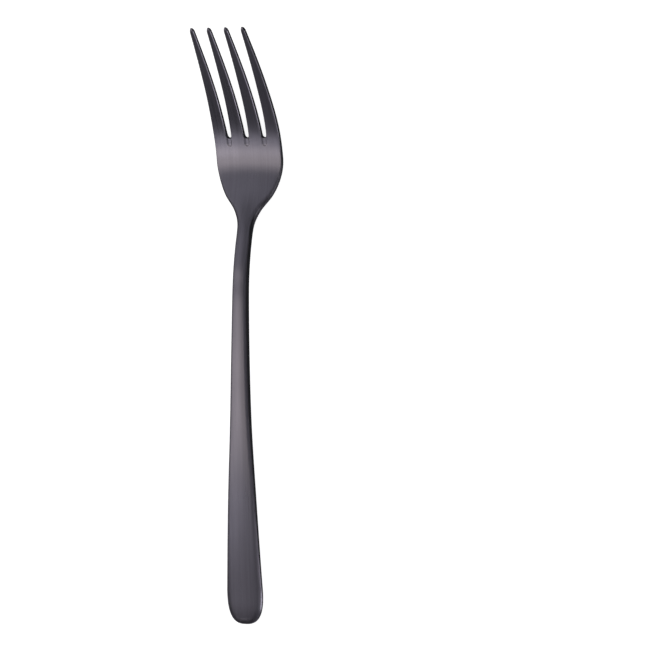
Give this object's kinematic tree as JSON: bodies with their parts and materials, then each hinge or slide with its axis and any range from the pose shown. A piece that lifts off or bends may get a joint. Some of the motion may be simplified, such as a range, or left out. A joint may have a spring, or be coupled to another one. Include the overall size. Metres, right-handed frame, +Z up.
{
  "type": "dinner fork",
  "caption": "Dinner fork in dark satin metal: flat handle with a rounded end, slim arched neck, broad curved head and straight tapered tines with rounded tips.",
  "frame": {"origin": "on the table, midway along the fork's length and width", "axes": "+X across the fork, +Y from the handle's end to the tips, +Z up from the table through the concave face"},
  "size_m": [0.0264, 0.2101, 0.0265],
  "materials": {
    "steel": "dark grey coated stainless steel, satin, brushed along the length"
  },
  "bodies": {
    "root": {"handle": "steel", "neck": "steel", "head": "steel", "tine_1": "steel", "tine_2": "steel", "tine_3": "steel", "tine_4": "steel"}
  },
  "joints": []
}
